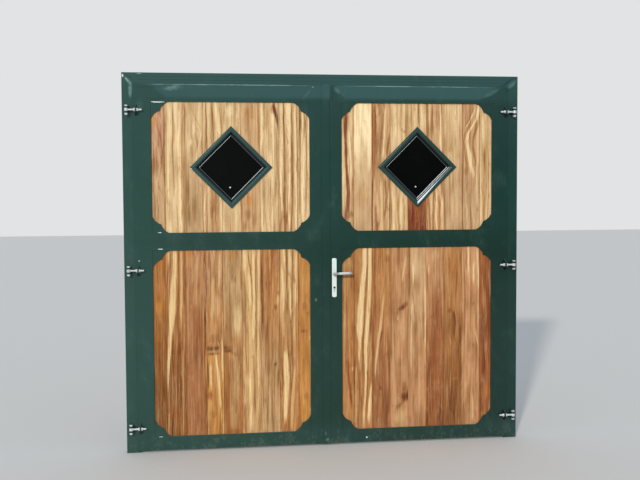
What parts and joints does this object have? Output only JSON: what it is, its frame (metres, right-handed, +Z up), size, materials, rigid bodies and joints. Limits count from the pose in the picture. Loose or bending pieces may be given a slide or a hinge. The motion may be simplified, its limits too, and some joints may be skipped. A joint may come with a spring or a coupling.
{
  "type": "double stable door with frame",
  "caption": "Outward-opening double stable door: green steel frame and two leaves with vertical hardwood boards, diamond windows, adjustable hinges and a lever lock.",
  "frame": {"origin": "bottom centre of the door: the foot of the frame, on the meeting line of the leaves, in the middle of the leaf thickness", "axes": "+X to the right and -Y outwards for someone who stands outside, +Z up"},
  "size_m": [2.55, 0.154, 2.39],
  "materials": {
    "frame_paint": "semi-gloss dark fir green",
    "leaf_paint": "semi-gloss dark fir green",
    "trim_paint": "semi-gloss dark fir green",
    "hardwood": "oiled, strongly striped",
    "black_rubber": "matt",
    "window_glass": "clear double glazing",
    "spacer_aluminium": "satin",
    "bright_zinc": "bright zinc plate",
    "handle_aluminium": "satin",
    "cylinder_nickel": "nickel plate",
    "plain_steel": "zinc plated"
  },
  "bodies": {
    "frame": {"frame_head": "frame_paint", "frame_jamb_left": "frame_paint", "frame_jamb_right": "frame_paint", "frame_seal": "black_rubber", "hinge_brackets": "frame_paint", "hinge_pins": "bright_zinc", "hinge_lock_nuts": "bright_zinc"},
    "left_leaf": {"left_hinge_stile": "leaf_paint", "left_meeting_stile": "leaf_paint", "left_top_rail": "leaf_paint", "left_mid_rail": "leaf_paint", "left_bottom_rail": "leaf_paint", "left_corner_plates": "leaf_paint", "left_upper_boards": "hardwood", "left_lower_boards": "hardwood", "left_panel_beads": "leaf_paint", "left_bead_screws": "plain_steel", "left_window_trim_outside": "trim_paint", "left_window_trim_inside": "trim_paint", "left_window_gaskets": "black_rubber", "left_window_panes": "window_glass", "left_window_spacer": "spacer_aluminium", "left_eye_bolts": "bright_zinc", "left_hinge_lugs": "leaf_paint", "left_adjusting_nuts": "bright_zinc", "strike_plate": "plain_steel", "shoot_bolt_guides": "plain_steel"},
    "right_leaf": {"right_hinge_stile": "leaf_paint", "right_meeting_stile": "leaf_paint", "right_top_rail": "leaf_paint", "right_mid_rail": "leaf_paint", "right_bottom_rail": "leaf_paint", "right_corner_plates": "leaf_paint", "right_upper_boards": "hardwood", "right_lower_boards": "hardwood", "right_panel_beads": "leaf_paint", "right_bead_screws": "plain_steel", "right_window_trim_outside": "trim_paint", "right_window_trim_inside": "trim_paint", "right_window_gaskets": "black_rubber", "right_window_panes": "window_glass", "right_window_spacer": "spacer_aluminium", "right_eye_bolts": "bright_zinc", "right_hinge_lugs": "leaf_paint", "right_adjusting_nuts": "bright_zinc", "cover_strip": "leaf_paint", "lock_case": "plain_steel", "cylinder_body": "cylinder_nickel", "outside_plate": "handle_aluminium", "inside_plate": "handle_aluminium", "plate_screws": "plain_steel"},
    "lever": {"outside_lever": "handle_aluminium", "inside_lever": "handle_aluminium", "lever_spindle": "plain_steel", "lock_follower": "plain_steel"},
    "latch": {"latch_bolt": "plain_steel"},
    "dead_bolt": {"dead_bolt": "plain_steel"},
    "key_plug": {"cylinder_plug": "cylinder_nickel"},
    "top_shoot_bolt": {"shoot_bolt_top": "plain_steel"},
    "bottom_shoot_bolt": {"shoot_bolt_bottom": "plain_steel"}
  },
  "joints": [
    {"name": "right_leaf_swing", "type": "hinge", "parent": "frame", "child": "right_leaf", "pos_m": [1.246, -0.045, 1.158], "axis": [0, 0, 1], "range_deg": [0, 170]},
    {"name": "left_leaf_swing", "type": "hinge", "parent": "frame", "child": "left_leaf", "pos_m": [-1.246, -0.045, 1.158], "axis": [0, 0, 1], "range_deg": [-170, 0]},
    {"name": "lever_turn", "type": "hinge", "parent": "right_leaf", "child": "lever", "pos_m": [0.052, 0, 1.116], "axis": [0, 1, 0], "range_deg": [0, 35], "stiffness_Nm_per_rad": 1.2, "springref_deg": -34.38},
    {"name": "latch_slide", "type": "slide", "parent": "right_leaf", "child": "latch", "axis": [1, 0, 0], "range_m": [0, 0.011]},
    {"name": "key_turn", "type": "hinge", "parent": "right_leaf", "child": "key_plug", "pos_m": [0.052, 0, 1.028], "axis": [0, 1, 0], "range_deg": [0, 360]},
    {"name": "dead_bolt_throw", "type": "slide", "parent": "right_leaf", "child": "dead_bolt", "axis": [-1, 0, 0], "range_m": [0, 0.02]},
    {"name": "top_shoot_bolt_slide", "type": "slide", "parent": "left_leaf", "child": "top_shoot_bolt", "axis": [0, 0, 1], "range_m": [0, 0.035]},
    {"name": "bottom_shoot_bolt_slide", "type": "slide", "parent": "left_leaf", "child": "bottom_shoot_bolt", "axis": [0, 0, -1], "range_m": [0, 0.04]}
  ],
  "couplings": [
    {"joint": "left_leaf_swing", "follows": "right_leaf_swing", "ratio": -1},
    {"joint": "latch_slide", "follows": "lever_turn", "m_per_rad": 0.018},
    {"joint": "key_turn", "follows": "dead_bolt_throw", "rad_per_m": 314.15}
  ]
}
